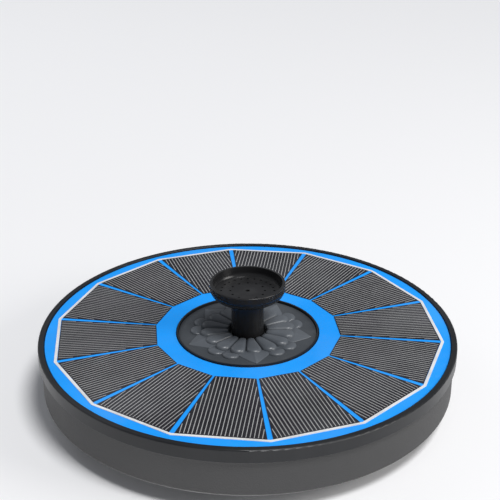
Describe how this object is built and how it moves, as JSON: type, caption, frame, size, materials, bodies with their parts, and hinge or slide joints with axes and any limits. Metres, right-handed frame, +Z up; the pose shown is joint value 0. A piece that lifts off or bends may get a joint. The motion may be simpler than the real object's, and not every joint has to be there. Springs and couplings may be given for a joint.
{
  "type": "solar fountain pump",
  "caption": "Round floating solar fountain pump: wedge-cell panel on a shallow hull, raised cup nozzle and an intake strainer below.",
  "frame": {"origin": "centre of the flat underside of the intake cover, which is the lowest face", "axes": "+Z up along the nozzle's axis, -Y the front, +X to the right seen from the front"},
  "size_m": [0.18, 0.18, 0.0522],
  "materials": {
    "hull_lower": "fine moulded grain, matte",
    "hull_upper": "semi-gloss moulded plastic",
    "panel_blue": "blue solder mask under clear resin",
    "cell": "near-black silicon with grey printed fingers",
    "ribbon": "tinned ribbon, bright",
    "clear_film": "clear gloss film",
    "trim": "satin bluish-grey moulding",
    "nozzle": "gloss black plastic",
    "pump_plastic": "matte black plastic",
    "impeller_plastic": "white engineering plastic",
    "seal_rubber": "soft black rubber",
    "screw_steel": "stainless steel",
    "shaft_steel": "ground stainless steel",
    "washer": "low-friction plastic",
    "magnet": "sintered ferrite",
    "core_steel": "stacked steel laminations",
    "copper": "enamelled copper wire",
    "bobbin": "natural nylon",
    "board_green": "green solder mask",
    "chip_black": "moulded epoxy package",
    "capacitor_can": "sleeved aluminium can",
    "lead_red": "insulated wire",
    "lead_black": "insulated wire",
    "sponge": "open-cell filter foam"
  },
  "bodies": {
    "float": {"base_shell": "hull_lower", "top_casing": "hull_upper", "panel_substrate": "panel_blue", "solar_cell_01": "cell", "solar_cell_02": "cell", "solar_cell_03": "cell", "solar_cell_04": "cell", "solar_cell_05": "cell", "solar_cell_06": "cell", "solar_cell_07": "cell", "solar_cell_08": "cell", "solar_cell_09": "cell", "solar_cell_10": "cell", "solar_cell_11": "cell", "solar_cell_12": "cell", "solar_cell_13": "cell", "solar_cell_14": "cell", "bus_ribbon": "ribbon", "panel_film": "clear_film", "rosette_cover": "trim", "pump_housing": "pump_plastic", "volute_cover": "pump_plastic", "motor_cover": "pump_plastic", "casing_gasket": "seal_rubber", "housing_seal": "seal_rubber", "lead_grommet": "seal_rubber", "shaft_bush_lower": "seal_rubber", "shaft_bush_upper": "seal_rubber", "casing_screws": "screw_steel", "flange_screws": "screw_steel", "volute_screws": "screw_steel", "impeller_shaft": "shaft_steel", "thrust_washer_lower": "washer", "thrust_washer_upper": "washer", "stator_core": "core_steel", "coil_winding": "copper", "coil_bobbin": "bobbin", "driver_board": "board_green", "driver_chip": "chip_black", "hall_sensor": "chip_black", "capacitor": "capacitor_can", "panel_lead_positive": "lead_red", "panel_lead_negative": "lead_black"},
    "rotor": {"impeller": "impeller_plastic", "rotor_magnet": "magnet"},
    "spout_seal": {"spout_seal": "seal_rubber"},
    "nozzle": {"nozzle_body": "nozzle", "spray_plate": "nozzle"},
    "intake_cover": {"intake_cover": "pump_plastic", "filter_sponge": "sponge"}
  },
  "joints": [
    {"name": "rotor_spin", "type": "hinge", "parent": "float", "child": "rotor", "pos_m": [0.013, 0, 0], "axis": [0, 0, 1], "continuous": true},
    {"name": "nozzle_turn", "type": "hinge", "parent": "float", "child": "spout_seal", "pos_m": [0, 0, 0], "axis": [0, 0, 1], "continuous": true},
    {"name": "nozzle_lift", "type": "slide", "parent": "spout_seal", "child": "nozzle", "axis": [0, 0, 1], "range_m": [0, 0.03]},
    {"name": "intake_cover_twist", "type": "hinge", "parent": "float", "child": "intake_cover", "pos_m": [0, 0, 0], "axis": [0, 0, 1], "range_deg": [0, 38]}
  ]
}
